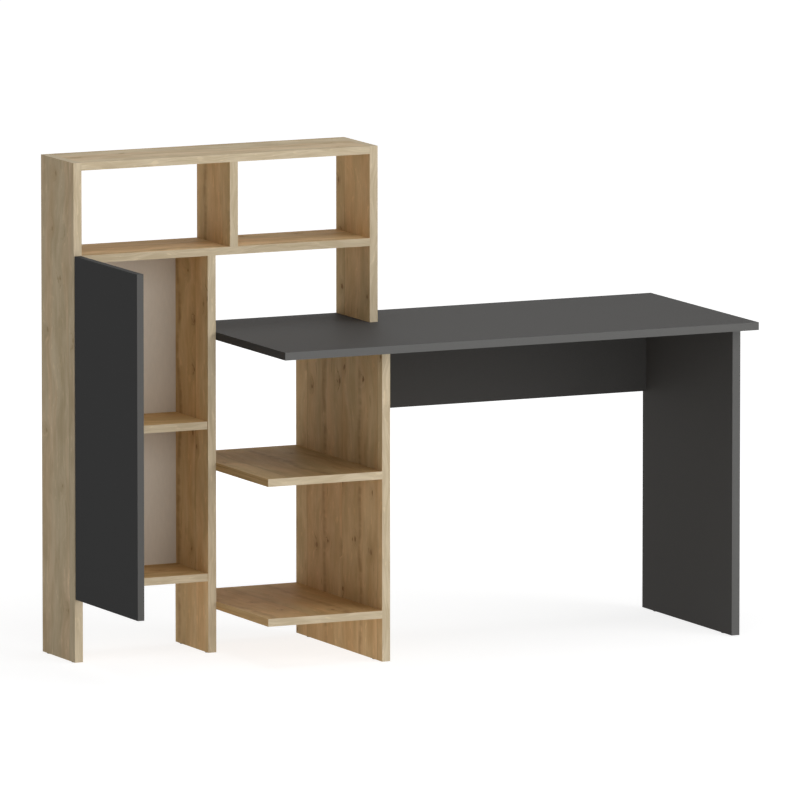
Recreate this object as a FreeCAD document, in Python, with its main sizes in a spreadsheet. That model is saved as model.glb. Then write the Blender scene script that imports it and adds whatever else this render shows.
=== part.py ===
import FreeCAD, Part
import os
import Sketcher

# Driving sizes in millimetres.
SIZES = {
    # Boards and their clear spaces, from the left end to the right end.
    "upright_thickness": 20,
    "board_thickness": 18,
    "cabinet_width": 313,
    "left_cubby_width": 369,
    "right_cubby_width": 331,
    "pedestal_width": 285,
    "knee_width": 868,
    # Heights.
    "desk_height": 740,
    "niche_height": 176,
    "cubby_height": 194,
    "cabinet_shelf_top": 535.5,
    "cabinet_bottom_top": 185,
    "upper_open_shelf_top": 439.5,
    "lower_open_shelf_top": 119.5,
    "modesty_height": 209,
    # Depths from the back.
    "hutch_depth": 182,
    "desk_depth": 560,
    "support_depth": 466,
    "cabinet_shelf_setback": 2,
    "cabinet_shelf_play": 0.5,
    # Thin back of the cabinet, let into rebates.
    "back_thickness": 3,
    "back_recess": 1,
    "rebate_width": 8,
    "back_play": 0.3,
    # Door, with its places when it is shut.
    "door_thickness": 16,
    "door_far_gap": 6.5,
    "door_drop": 19.5,
    "door_gap": 2,
    "door_reveal": 1.5,
    "door_edge_radius": 1.5,
    "bumper_radius": 5,
    "bumper_height": 1.8,
    "bumper_inset": 9,
    # Concealed hinges.
    "hinge_inset": 100,
    "pin_inset": 6.5,
    "pin_reach": 10.5,
    "pin_radius": 1.5,
    "pin_length": 13.6,
    "running_clearance": 0.05,
    "cup_radius": 17.5,
    "cup_depth": 12.5,
    "cup_tab": 3,
    "cup_floor": 1,
    "cup_slot_width": 8.6,
    "cup_slot_reach": 26,
    "flange_thickness": 1.2,
    "flange_width": 22,
    "flange_screw_spacing": 45,
    "flange_end": 4.5,
    "flange_screw_offset": 9.5,
    "arm_thickness": 2.4,
    "arm_width": 8,
    "arm_length": 66,
    "eye_radius": 2.6,
    "plate_thickness": 2,
    "plate_width": 30,
    "plate_setback": 37,
    "plate_screw_spacing": 32,
    "plate_end": 9,
    "hinge_screw_radius": 1.75,
    "hinge_screw_length": 12,
    "hinge_screw_head_radius": 3.3,
    "hinge_screw_head_height": 1.6,
    "arm_screw_radius": 2,
    # Cam fittings, dowels and screws of the joints.
    "fit_clearance": 0.1,
    "cam_radius": 7.5,
    "cam_depth": 13,
    "cam_setback": 34,
    "cam_slot_width": 1.6,
    "cam_slot_length": 10,
    "cam_slot_depth": 2.5,
    "cam_cap_peg_radius": 0.7,
    "cam_cap_peg_length": 2,
    "bolt_thread_radius": 3,
    "bolt_thread_length": 11,
    "bolt_shank_radius": 2.6,
    "bolt_head_radius": 3.4,
    "bolt_head_length": 4,
    "bolt_bore_radius": 4,
    "dowel_radius": 4,
    "dowel_face_depth": 11,
    "dowel_end_depth": 19,
    "dowel_chamfer": 1,
    "screw_radius": 2.2,
    "screw_length": 45,
    "screw_head_radius": 4.2,
    "screw_head_height": 3,
    "shelf_pin_radius": 2.5,
    "shelf_pin_seat": 10,
    "shelf_pin_reach": 8,
    "nail_radius": 0.7,
    "nail_length": 15,
    "nail_head_radius": 1.8,
    "nail_head_height": 0.6,
    # Plastic glides under the uprights.
    "glide_height": 2,
    "glide_radius": 8,
    "glide_stem_radius": 4,
    "glide_stem_length": 18,
    # How far a cutting tool runs past the face that it cuts.
    "overrun": 3,
}

# Places along a board, as shares of its depth, height or length.
CAM_SHARES = (0.2, 0.8)
SUPPORT_CAM_SHARES = (0.15, 0.85)
DOWEL_SHARE = 0.5
DIVIDER_DOWEL_SHARES = (0.25, 0.75)
SCREW_SHARES = (0.35, 0.65)
MODESTY_DOWEL_SHARES = (0.2, 0.5, 0.8)
SHELF_PIN_SHARES = (0.22, 0.78)
GLIDE_SHARES = (0.12, 0.88)
NAIL_SHARES = (0.1, 0.5, 0.9)

# Directions in (to the right, to the front, up).
RIGHT = (1, 0, 0)
LEFT = (-1, 0, 0)
BACK = (0, -1, 0)
UP = (0, 0, 1)
DOWN = (0, 0, -1)

doc = FreeCAD.newDocument("StudentDesk")
sheet = doc.addObject("Spreadsheet::Sheet", "Dims")
for row, (alias, value) in enumerate(SIZES.items(), start=1):
    sheet.set(f"A{row}", alias)
    sheet.set(f"B{row}", str(value))
    sheet.setAlias(f"B{row}", alias)
doc.recompute()


def dim(name):
    """Expression for one driving size."""
    if name not in SIZES:
        raise KeyError(name)
    return f"Dims.{name}"


def total(*terms):
    """Expression for a sum of expressions."""
    return "(" + " + ".join(terms) + ")"


def less(first, *others):
    """Expression for the first expression with the others taken off."""
    return "(" + " - ".join((first,) + others) + ")"


def share(part, whole):
    """Expression for a share of a size."""
    return f"({part} * {whole})"


def half(whole):
    """Expression for half of a size."""
    return f"({whole} / 2)"


# Faces and heights of the boards, from the left end, the back and the floor.
UPRIGHT = dim("upright_thickness")
BOARD = dim("board_thickness")
LEFT_IN = UPRIGHT
CENTRE_LEFT = total(LEFT_IN, dim("cabinet_width"))
CENTRE_RIGHT = total(CENTRE_LEFT, UPRIGHT)
DIVIDER_LEFT = total(LEFT_IN, dim("left_cubby_width"))
DIVIDER_RIGHT = total(DIVIDER_LEFT, UPRIGHT)
HUTCH_RIGHT_IN = total(DIVIDER_RIGHT, dim("right_cubby_width"))
SIDE_LEFT = total(CENTRE_RIGHT, dim("pedestal_width"))
SIDE_RIGHT = total(SIDE_LEFT, UPRIGHT)
LEG_LEFT = total(SIDE_RIGHT, dim("knee_width"))
OVERALL_WIDTH = total(LEG_LEFT, UPRIGHT)
FOOT = dim("glide_height")
DESK_TOP = dim("desk_height")
DESK_UNDER = less(DESK_TOP, BOARD)
SHELF_UNDER = total(DESK_TOP, dim("niche_height"))
SHELF_TOP = total(SHELF_UNDER, BOARD)
TOP_UNDER = total(SHELF_TOP, dim("cubby_height"))
OVERALL_HEIGHT = total(TOP_UNDER, BOARD)
CABINET_BOTTOM_UNDER = less(dim("cabinet_bottom_top"), BOARD)
CABINET_SHELF_UNDER = less(dim("cabinet_shelf_top"), BOARD)
MODESTY_BOTTOM = less(DESK_UNDER, dim("modesty_height"))
REBATE_DEPTH = total(dim("back_recess"), dim("back_thickness"))
CABINET_FRONT = less(dim("hutch_depth"), dim("cabinet_shelf_setback"))
CABINET_DEPTH = less(CABINET_FRONT, REBATE_DEPTH)

# Hinge axis, and the door's faces as it stands open at a right angle.
PIN_X = total(dim("door_reveal"), dim("pin_inset"))
PIN_D = total(dim("hutch_depth"), dim("pin_reach"))
PIN_COVER = less(dim("pin_reach"), dim("door_gap"))
DOOR_IN = total(PIN_X, PIN_COVER)
DOOR_OUT = less(DOOR_IN, dim("door_thickness"))
DOOR_BACK = less(PIN_D, dim("pin_inset"))
DOOR_WIDTH = less(CENTRE_RIGHT, dim("door_reveal"), dim("door_far_gap"))
DOOR_BOTTOM = less(CABINET_BOTTOM_UNDER, dim("door_drop"))
HINGE_HEIGHTS = (total(DOOR_BOTTOM, dim("hinge_inset")), less(SHELF_TOP, dim("hinge_inset")))

bores = {}
groups = {}
parts = {}


def row_vector(direction):
    """Direction as a vector of the part's frame, where the front looks along minus Y."""
    return FreeCAD.Vector(direction[0], -direction[1], direction[2])


def place(item, spot):
    """Bind an object's place to (from the left end, from the back, from the floor)."""
    across, deep, high = spot
    item.setExpression("Placement.Base.x", less(across, half(OVERALL_WIDTH)))
    item.setExpression("Placement.Base.y", less(half(dim("desk_depth")), deep))
    item.setExpression("Placement.Base.z", high)
    return item


def shifted(spot, direction, amount):
    """A spot moved by an amount along one of the six directions."""
    return tuple(
        f"({coordinate} + {sign} * {amount})" if sign else coordinate
        for coordinate, sign in zip(spot, direction)
    )


def block(name, low, size):
    """Box with its left, rear, lower corner at low and its size (length, depth, height)."""
    box = doc.addObject("Part::Box", name)
    for attribute, amount in zip(("Length", "Width", "Height"), size):
        box.setExpression(attribute, amount)
    return place(box, (low[0], total(low[1], size[1]), low[2]))


def rod(name, radius, start, length):
    """Cylinder along its own Z, from start, to be used through links."""
    cylinder = doc.addObject("Part::Cylinder", name)
    cylinder.setExpression("Radius", radius)
    cylinder.setExpression("Height", length)
    cylinder.setExpression("Placement.Base.z", start)
    return cylinder


def local_box(name, low, size):
    """Box in a prototype's own frame."""
    box = doc.addObject("Part::Box", name)
    for attribute, amount in zip(("Length", "Width", "Height"), size):
        box.setExpression(attribute, amount)
    for axis, amount in zip("xyz", low):
        box.setExpression(f"Placement.Base.{axis}", amount)
    return box


def local_rod(name, axis, radius, low, length):
    """Cylinder along one axis of a prototype's own frame, from its low end."""
    cylinder = doc.addObject("Part::Cylinder", name)
    cylinder.setExpression("Radius", radius)
    cylinder.setExpression("Height", length)
    turn = FreeCAD.Rotation(FreeCAD.Vector(0, 0, 1), FreeCAD.Vector(*axis))
    cylinder.Placement = FreeCAD.Placement(FreeCAD.Vector(), turn)
    for letter, amount in zip("xyz", low):
        cylinder.setExpression(f"Placement.Base.{letter}", amount)
    return cylinder


def fused(name, *shapes):
    """Union of solids."""
    union = doc.addObject("Part::MultiFuse", name)
    union.Shapes = list(shapes)
    return union


def cut(name, base, *tools):
    """A solid with the tools taken out of it."""
    result = doc.addObject("Part::Cut", name)
    result.Base = base
    result.Tool = tools[0] if len(tools) == 1 else fused(name + "_tools", *tools)
    return result


def put(prototype, spot, z_to=UP, x_to=None):
    """Link to a prototype, set at a spot with its own Z, and X where it matters, turned."""
    link = doc.addObject("App::Link", prototype.Name + "_set")
    link.LinkedObject = prototype
    link.LinkTransform = True
    if x_to is None:
        turn = FreeCAD.Rotation(FreeCAD.Vector(0, 0, 1), row_vector(z_to))
    else:
        turn = FreeCAD.Rotation(row_vector(x_to), FreeCAD.Vector(), row_vector(z_to), "ZXY")
    link.Placement = FreeCAD.Placement(FreeCAD.Vector(), turn)
    return place(link, spot)


def drill(board, tool, spot, z_to):
    """Note a hole to be cut in a board."""
    bores.setdefault(board, []).append(put(tool, spot, z_to))


def add(group, prototype, spot, z_to=UP, x_to=None):
    """Add one copy of a prototype to a group of like pieces."""
    groups.setdefault(group, []).append(put(prototype, spot, z_to, x_to))


def headed_pin(name, radius, length, head_radius, head_height):
    """Screw or nail: its head's underside is at zero and its shank runs along minus Z."""
    shank = rod(name + "_shank", radius, f"-{length}", length)
    head = rod(name + "_head", head_radius, "0", head_height)
    return fused(name, shank, head)


CLEAR = dim("fit_clearance")
OVERRUN = dim("overrun")

# How deep a cam lies below the face of an upright, which is where its cap goes.
CAP_DEPTH = half(less(UPRIGHT, BOARD))

# Cam housing: exposed face at zero, body along Z, the bolt comes in along its own X.
cam_body = rod("cam_body", dim("cam_radius"), "0", dim("cam_depth"))
cam_mouth = local_rod(
    "cam_mouth", (1, 0, 0), total(dim("bolt_head_radius"), CLEAR), ("0", "0", half(BOARD)),
    total(dim("cam_radius"), OVERRUN),
)
cam_cross = [
    local_box(
        f"cam_cross_{number}",
        (f"-{half(size[0])}", f"-{half(size[1])}", f"-{OVERRUN}"),
        (*size, total(OVERRUN, dim("cam_slot_depth"))),
    )
    for number, size in enumerate(
        (
            (dim("cam_slot_length"), dim("cam_slot_width")),
            (dim("cam_slot_width"), dim("cam_slot_length")),
        )
    )
]
cam = cut("cam", cam_body, cam_mouth, *cam_cross)
cam_cap = fused(
    "cam_cap",
    rod("cam_cap_disc", dim("cam_radius"), f"-{CAP_DEPTH}", less(CAP_DEPTH, CLEAR)),
    rod("cam_cap_peg", dim("cam_cap_peg_radius"), f"-{CAP_DEPTH}",
        total(CAP_DEPTH, dim("cam_cap_peg_length"))),
)
cam_bore = rod(
    "cam_bore", total(dim("cam_radius"), CLEAR), f"-{OVERRUN}",
    total(OVERRUN, dim("cam_depth"), CLEAR),
)

# Cam bolt: the joint's plane is at zero, its thread behind it and its head inside the cam.
BOLT_REACH = less(dim("cam_setback"), CLEAR)
bolt = fused(
    "bolt",
    rod("bolt_thread", dim("bolt_thread_radius"), f"-{dim('bolt_thread_length')}",
        dim("bolt_thread_length")),
    rod("bolt_shank", dim("bolt_shank_radius"), "0", BOLT_REACH),
    rod("bolt_head", dim("bolt_head_radius"), less(BOLT_REACH, dim("bolt_head_length")),
        dim("bolt_head_length")),
)
bolt_bore = fused(
    "bolt_bore",
    rod("bolt_thread_bore", total(dim("bolt_thread_radius"), CLEAR),
        f"-{total(dim('bolt_thread_length'), CLEAR)}", total(dim("bolt_thread_length"), CLEAR)),
    rod("bolt_shank_bore", dim("bolt_bore_radius"), "0", dim("cam_setback")),
)

# Dowel: the joint's plane is at zero, the long end along Z.
DOWEL_LENGTH = total(dim("dowel_face_depth"), dim("dowel_end_depth"))
DOWEL_NOSE = less(dim("dowel_radius"), dim("dowel_chamfer"))


def dowel_end(name, start, low_radius, high_radius):
    """Chamfered end of a dowel."""
    cone = doc.addObject("Part::Cone", name)
    cone.setExpression("Radius1", low_radius)
    cone.setExpression("Radius2", high_radius)
    cone.setExpression("Height", dim("dowel_chamfer"))
    cone.setExpression("Placement.Base.z", start)
    return cone


dowel = fused(
    "dowel",
    dowel_end("dowel_face_end", f"-{dim('dowel_face_depth')}", DOWEL_NOSE, dim("dowel_radius")),
    rod("dowel_stem", dim("dowel_radius"), less(dim("dowel_chamfer"), dim("dowel_face_depth")),
        less(DOWEL_LENGTH, dim("dowel_chamfer"), dim("dowel_chamfer"))),
    dowel_end("dowel_board_end", less(dim("dowel_end_depth"), dim("dowel_chamfer")),
              dim("dowel_radius"), DOWEL_NOSE),
)
dowel_bore = rod(
    "dowel_bore", total(dim("dowel_radius"), CLEAR), f"-{total(dim('dowel_face_depth'), CLEAR)}",
    total(DOWEL_LENGTH, CLEAR, CLEAR),
)

# Chipboard screw, driven up through a shelf with its head sunk flush.
screw = headed_pin(
    "screw", dim("screw_radius"), dim("screw_length"),
    dim("screw_head_radius"), dim("screw_head_height"),
)
screw_bore = fused(
    "screw_bore",
    rod("screw_shank_bore", total(dim("screw_radius"), CLEAR),
        f"-{total(dim('screw_length'), CLEAR)}", total(dim("screw_length"), CLEAR)),
    rod("screw_head_bore", total(dim("screw_head_radius"), CLEAR), "0",
        total(dim("screw_head_height"), OVERRUN)),
)

# Shelf pin: the panel's face is at zero, its seat behind it.
shelf_pin = rod(
    "shelf_pin", dim("shelf_pin_radius"), f"-{dim('shelf_pin_seat')}",
    total(dim("shelf_pin_seat"), dim("shelf_pin_reach")),
)
shelf_pin_bore = rod(
    "shelf_pin_bore", total(dim("shelf_pin_radius"), CLEAR),
    f"-{total(dim('shelf_pin_seat'), CLEAR)}", total(dim("shelf_pin_seat"), CLEAR, OVERRUN),
)

nail = headed_pin(
    "nail", dim("nail_radius"), dim("nail_length"), dim("nail_head_radius"), dim("nail_head_height"),
)
nail_bore = rod(
    "nail_bore", total(dim("nail_radius"), CLEAR), f"-{total(dim('nail_length'), CLEAR)}",
    total(dim("nail_length"), CLEAR),
)

# Glide: the panel's lower end is at zero, its stem along Z and its disc below.
glide = fused(
    "glide",
    rod("glide_stem", dim("glide_stem_radius"), "0", dim("glide_stem_length")),
    rod("glide_disc", dim("glide_radius"), f"-{dim('glide_height')}", dim("glide_height")),
)
glide_bore = rod(
    "glide_bore", total(dim("glide_stem_radius"), CLEAR), "0",
    total(dim("glide_stem_length"), CLEAR),
)


def cam_joint(end_board, face_board, spot, into, cam_side, caps=None):
    """Cam fitting at a joint's plane: into points into the board whose end is held."""
    add("cam_bolts", bolt, spot, into)
    drill(end_board, bolt_bore, spot, into)
    drill(face_board, bolt_bore, spot, into)
    centre = shifted(spot, into, dim("cam_setback"))
    face = shifted(centre, cam_side, half(BOARD))
    inwards = tuple(-sign for sign in cam_side)
    to_joint = tuple(-sign for sign in into)
    add("cam_housings", cam, face, inwards, to_joint)
    drill(end_board, cam_bore, face, inwards)
    if caps:
        add(caps, cam_cap, face, inwards)


def dowel_joint(end_board, face_board, spot, into):
    """Dowel across a joint's plane."""
    add("dowels", dowel, spot, into)
    drill(end_board, dowel_bore, spot, into)
    drill(face_board, dowel_bore, spot, into)


def end_joint(
    end_board, face_board, across, high, into, depth, cam_shares, cam_side=DOWN, caps=None
):
    """Two cams and a dowel in a row from back to front."""
    for part in cam_shares:
        spot = (across, share(part, depth), high)
        cam_joint(end_board, face_board, spot, into, cam_side, caps)
    dowel_joint(end_board, face_board, (across, share(DOWEL_SHARE, depth), high), into)


def glides_under(board, across, depth):
    """Two glides under an upright."""
    for part in GLIDE_SHARES:
        spot = (total(across, half(UPRIGHT)), share(part, depth), FOOT)
        add("floor_glides", glide, spot)
        drill(board, glide_bore, spot, UP)


# Blanks of the boards: the lowest corner, then length, depth and height.
HUTCH_DEPTH = dim("hutch_depth")
SUPPORT_DEPTH = dim("support_depth")
HUTCH_SPAN = less(HUTCH_RIGHT_IN, LEFT_IN)
SHELF_PLAY = dim("cabinet_shelf_play")
UPRIGHT_TO_DESK = less(DESK_UNDER, FOOT)
BLANKS = {
    "left_side_panel": (
        ("0", "0", FOOT),
        (UPRIGHT, HUTCH_DEPTH, less(OVERALL_HEIGHT, FOOT)),
    ),
    "centre_panel": (
        (CENTRE_LEFT, "0", FOOT),
        (UPRIGHT, HUTCH_DEPTH, less(SHELF_UNDER, FOOT)),
    ),
    "hutch_right_panel": (
        (HUTCH_RIGHT_IN, "0", DESK_TOP),
        (UPRIGHT, HUTCH_DEPTH, less(OVERALL_HEIGHT, DESK_TOP)),
    ),
    "hutch_top_panel": ((LEFT_IN, "0", TOP_UNDER), (HUTCH_SPAN, HUTCH_DEPTH, BOARD)),
    "hutch_shelf": ((LEFT_IN, "0", SHELF_UNDER), (HUTCH_SPAN, HUTCH_DEPTH, BOARD)),
    "hutch_divider": (
        (DIVIDER_LEFT, "0", SHELF_TOP),
        (UPRIGHT, HUTCH_DEPTH, dim("cubby_height")),
    ),
    "cabinet_shelf": (
        (total(LEFT_IN, SHELF_PLAY), total(REBATE_DEPTH, SHELF_PLAY), CABINET_SHELF_UNDER),
        (less(dim("cabinet_width"), SHELF_PLAY, SHELF_PLAY), less(CABINET_DEPTH, SHELF_PLAY), BOARD),
    ),
    "cabinet_bottom": (
        (LEFT_IN, REBATE_DEPTH, CABINET_BOTTOM_UNDER),
        (dim("cabinet_width"), CABINET_DEPTH, BOARD),
    ),
    "upper_open_shelf": (
        (CENTRE_RIGHT, "0", less(dim("upper_open_shelf_top"), BOARD)),
        (dim("pedestal_width"), SUPPORT_DEPTH, BOARD),
    ),
    "lower_open_shelf": (
        (CENTRE_RIGHT, "0", less(dim("lower_open_shelf_top"), BOARD)),
        (dim("pedestal_width"), SUPPORT_DEPTH, BOARD),
    ),
    "pedestal_side_panel": ((SIDE_LEFT, "0", FOOT), (UPRIGHT, SUPPORT_DEPTH, UPRIGHT_TO_DESK)),
    "right_leg_panel": ((LEG_LEFT, "0", FOOT), (UPRIGHT, SUPPORT_DEPTH, UPRIGHT_TO_DESK)),
    "modesty_panel": (
        (SIDE_RIGHT, "0", MODESTY_BOTTOM),
        (dim("knee_width"), BOARD, dim("modesty_height")),
    ),
    "desktop": (
        (CENTRE_RIGHT, "0", DESK_UNDER),
        (less(OVERALL_WIDTH, CENTRE_RIGHT), dim("desk_depth"), BOARD),
    ),
}

# Joints of the horizontal boards, each end held by cams that are let into its underside.
ENDS = (
    ("hutch_top_panel", TOP_UNDER, "left_side_panel", LEFT_IN, "hutch_right_panel", HUTCH_RIGHT_IN),
    ("hutch_shelf", SHELF_UNDER, "left_side_panel", LEFT_IN, "hutch_right_panel", HUTCH_RIGHT_IN),
    ("cabinet_bottom", CABINET_BOTTOM_UNDER, "left_side_panel", LEFT_IN, "centre_panel", CENTRE_LEFT),
)
for board, under, left_board, left_face, right_board, right_face in ENDS:
    middle = total(under, half(BOARD))
    end_joint(board, left_board, left_face, middle, RIGHT, HUTCH_DEPTH, CAM_SHARES)
    end_joint(board, right_board, right_face, middle, LEFT, HUTCH_DEPTH, CAM_SHARES)

for board in ("upper_open_shelf", "lower_open_shelf"):
    middle = less(dim(board + "_top"), half(BOARD))
    end_joint(board, "centre_panel", CENTRE_RIGHT, middle, RIGHT, HUTCH_DEPTH, CAM_SHARES)
    end_joint(board, "pedestal_side_panel", SIDE_LEFT, middle, LEFT, SUPPORT_DEPTH, SUPPORT_CAM_SHARES)

DESK_MIDDLE = less(DESK_TOP, half(BOARD))
end_joint("desktop", "centre_panel", CENTRE_RIGHT, DESK_MIDDLE, RIGHT, HUTCH_DEPTH, CAM_SHARES)

# Joints of the uprights' upper ends.
MID = half(UPRIGHT)
end_joint("centre_panel", "hutch_shelf", total(CENTRE_LEFT, MID), SHELF_UNDER, DOWN,
          HUTCH_DEPTH, CAM_SHARES, RIGHT, "oak_cam_caps")
end_joint("pedestal_side_panel", "desktop", total(SIDE_LEFT, MID), DESK_UNDER, DOWN,
          SUPPORT_DEPTH, SUPPORT_CAM_SHARES, RIGHT, "oak_cam_caps")
end_joint("right_leg_panel", "desktop", total(LEG_LEFT, MID), DESK_UNDER, DOWN,
          SUPPORT_DEPTH, SUPPORT_CAM_SHARES, LEFT, "dark_cam_caps")

# Modesty panel: cams let into its rear face at both ends, dowels up into the desktop.
MODESTY_MIDDLE = half(BOARD)
for face_board, face, into in (
    ("pedestal_side_panel", SIDE_RIGHT, RIGHT),
    ("right_leg_panel", LEG_LEFT, LEFT),
):
    for part in CAM_SHARES:
        high = total(MODESTY_BOTTOM, share(part, dim("modesty_height")))
        cam_joint("modesty_panel", face_board, (face, MODESTY_MIDDLE, high), into, BACK)
    high = total(MODESTY_BOTTOM, share(DOWEL_SHARE, dim("modesty_height")))
    dowel_joint("modesty_panel", face_board, (face, MODESTY_MIDDLE, high), into)
for part in MODESTY_DOWEL_SHARES:
    across = total(SIDE_RIGHT, share(part, dim("knee_width")))
    dowel_joint("modesty_panel", "desktop", (across, MODESTY_MIDDLE, DESK_UNDER), DOWN)

# Divider and right hutch panel: dowels, and screws up from the board below.
for part in DIVIDER_DOWEL_SHARES:
    deep = share(part, HUTCH_DEPTH)
    dowel_joint("hutch_divider", "hutch_top_panel", (total(DIVIDER_LEFT, MID), deep, TOP_UNDER), DOWN)
    dowel_joint("hutch_right_panel", "desktop", (total(HUTCH_RIGHT_IN, MID), deep, DESK_TOP), UP)
for part in SCREW_SHARES:
    for upper, lower, across, under in (
        ("hutch_divider", "hutch_shelf", DIVIDER_LEFT, SHELF_UNDER),
        ("hutch_right_panel", "desktop", HUTCH_RIGHT_IN, DESK_UNDER),
    ):
        head = total(under, dim("screw_head_height"))
        spot = (total(across, MID), share(part, HUTCH_DEPTH), head)
        add("upright_screws", screw, spot, DOWN)
        drill(lower, screw_bore, spot, DOWN)
        drill(upper, screw_bore, spot, DOWN)

# Pins under the cabinet shelf.
PIN_HEIGHT = less(CABINET_SHELF_UNDER, dim("shelf_pin_radius"), CLEAR)
for part in SHELF_PIN_SHARES:
    for board, face, out in (("left_side_panel", LEFT_IN, RIGHT), ("centre_panel", CENTRE_LEFT, LEFT)):
        spot = (face, share(part, HUTCH_DEPTH), PIN_HEIGHT)
        add("shelf_pins", shelf_pin, spot, out)
        drill(board, shelf_pin_bore, spot, out)

# Glides under the four uprights.
for board, across, depth in (
    ("left_side_panel", "0", HUTCH_DEPTH),
    ("centre_panel", CENTRE_LEFT, HUTCH_DEPTH),
    ("pedestal_side_panel", SIDE_LEFT, SUPPORT_DEPTH),
    ("right_leg_panel", LEG_LEFT, SUPPORT_DEPTH),
):
    glides_under(board, across, depth)

# Rebates for the back panel, and its nails.
BACK_PLAY = dim("back_play")
BACK_HEIGHT = less(SHELF_UNDER, CABINET_BOTTOM_UNDER)
REBATE = dim("rebate_width")
for board, across, length in (
    ("left_side_panel", less(LEFT_IN, REBATE), total(REBATE, OVERRUN)),
    ("centre_panel", less(CENTRE_LEFT, OVERRUN), total(REBATE, OVERRUN)),
):
    bores[board].append(
        block(
            board + "_rebate",
            (across, f"-{OVERRUN}", CABINET_BOTTOM_UNDER),
            (length, total(REBATE_DEPTH, OVERRUN), BACK_HEIGHT),
        )
    )
back_blank = block(
    "cabinet_back_blank",
    (total(less(LEFT_IN, REBATE), BACK_PLAY), dim("back_recess"), total(CABINET_BOTTOM_UNDER, BACK_PLAY)),
    (
        less(total(dim("cabinet_width"), REBATE, REBATE), BACK_PLAY, BACK_PLAY),
        dim("back_thickness"),
        less(BACK_HEIGHT, BACK_PLAY, BACK_PLAY),
    ),
)
NAIL_LINES = [
    (board, across, total(CABINET_BOTTOM_UNDER, share(part, BACK_HEIGHT)))
    for part in NAIL_SHARES
    for board, across in (
        ("left_side_panel", less(LEFT_IN, half(REBATE))),
        ("centre_panel", total(CENTRE_LEFT, half(REBATE))),
    )
]
for part in NAIL_SHARES:
    across = total(LEFT_IN, share(part, dim("cabinet_width")))
    NAIL_LINES.append(("cabinet_bottom", across, total(CABINET_BOTTOM_UNDER, half(BOARD))))
for board, across, high in NAIL_LINES:
    spot = (across, dim("back_recess"), high)
    add("back_nails", nail, spot, BACK)
    drill("cabinet_back", nail_bore, spot, BACK)
    drill(board, nail_bore, spot, BACK)

# Hinge, in a frame whose origin is on the pin, X across and Y to the back.
CUP_CENTRE = less(total(dim("cup_tab"), dim("cup_radius")), dim("pin_inset"))
CUP_BASE = less(PIN_COVER, dim("cup_depth"))
ARM_HALF = half(dim("arm_width"))
SLOT_HALF = half(dim("cup_slot_width"))
PLATE_TOP = less(total(LEFT_IN, dim("plate_thickness")), PIN_X)
ARM_TOP = total(PLATE_TOP, dim("arm_thickness"))
PLATE_D = less(PIN_D, less(HUTCH_DEPTH, dim("plate_setback")))
FLANGE_TOP = total(PIN_COVER, dim("flange_thickness"))
FLANGE_HEIGHT = total(dim("flange_screw_spacing"), dim("flange_end"), dim("flange_end"))
PLATE_HEIGHT = total(dim("plate_screw_spacing"), dim("plate_end"), dim("plate_end"))
FLANGE_SCREW_Y = f"-{total(CUP_CENTRE, dim('flange_screw_offset'))}"

cup_disc = local_rod(
    "cup_disc", (1, 0, 0), dim("cup_radius"), (CUP_BASE, f"-{CUP_CENTRE}", "0"), dim("cup_depth"),
)
cup_flange = local_box(
    "cup_flange",
    (PIN_COVER, f"-{total(CUP_CENTRE, half(dim('flange_width')), half(dim('flange_screw_offset')))}",
     f"-{half(FLANGE_HEIGHT)}"),
    (dim("flange_thickness"), dim("flange_width"), FLANGE_HEIGHT),
)
cup_slot = local_box(
    "cup_slot",
    (total(CUP_BASE, dim("cup_floor")), f"-{dim('cup_slot_reach')}", f"-{SLOT_HALF}"),
    (total(dim("cup_depth"), OVERRUN), total(dim("cup_slot_reach"), dim("pin_inset")),
     dim("cup_slot_width")),
)
pin_bore = local_rod(
    "cup_pin_bore", (0, 0, 1), total(dim("pin_radius"), dim("running_clearance")),
    ("0", "0", f"-{total(half(dim('pin_length')), CLEAR)}"), total(dim("pin_length"), CLEAR, CLEAR),
)
FLANGE_SCREW_HEIGHTS = [f"{sign}{half(dim('flange_screw_spacing'))}" for sign in ("-", "")]
PLATE_SCREW_HEIGHTS = [f"{sign}{half(dim('plate_screw_spacing'))}" for sign in ("-", "")]
SCREW_WALL = total(dim("hinge_screw_radius"), CLEAR)
cup_screw_holes = [
    local_rod(f"cup_screw_hole_{number}", (1, 0, 0), SCREW_WALL, ("0", FLANGE_SCREW_Y, high),
              total(FLANGE_TOP, OVERRUN))
    for number, high in enumerate(FLANGE_SCREW_HEIGHTS)
]
hinge_cup = cut("hinge_cup", fused("cup_solid", cup_disc, cup_flange), cup_slot, pin_bore, *cup_screw_holes)

arm_eye = local_rod("arm_eye", (0, 0, 1), dim("eye_radius"), ("0", "0", f"-{ARM_HALF}"), dim("arm_width"))
arm_nose = local_box(
    "arm_nose",
    ("0", f"-{half(dim('arm_thickness'))}", f"-{ARM_HALF}"),
    (ARM_TOP, dim("arm_thickness"), dim("arm_width")),
)
arm_bar = local_box(
    "arm_bar",
    (PLATE_TOP, f"-{half(dim('arm_thickness'))}", f"-{ARM_HALF}"),
    (dim("arm_thickness"), dim("arm_length"), dim("arm_width")),
)
arm_pin_bore = local_rod(
    "arm_pin_bore", (0, 0, 1), total(dim("pin_radius"), dim("running_clearance")),
    ("0", "0", f"-{total(ARM_HALF, OVERRUN)}"), total(dim("arm_width"), OVERRUN, OVERRUN),
)
arm_screw_hole = local_rod(
    "arm_screw_hole", (1, 0, 0), total(dim("arm_screw_radius"), CLEAR), ("0", PLATE_D, "0"),
    total(ARM_TOP, OVERRUN),
)
hinge_arm = cut("hinge_arm", fused("arm_solid", arm_eye, arm_nose, arm_bar), arm_pin_bore, arm_screw_hole)

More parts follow.
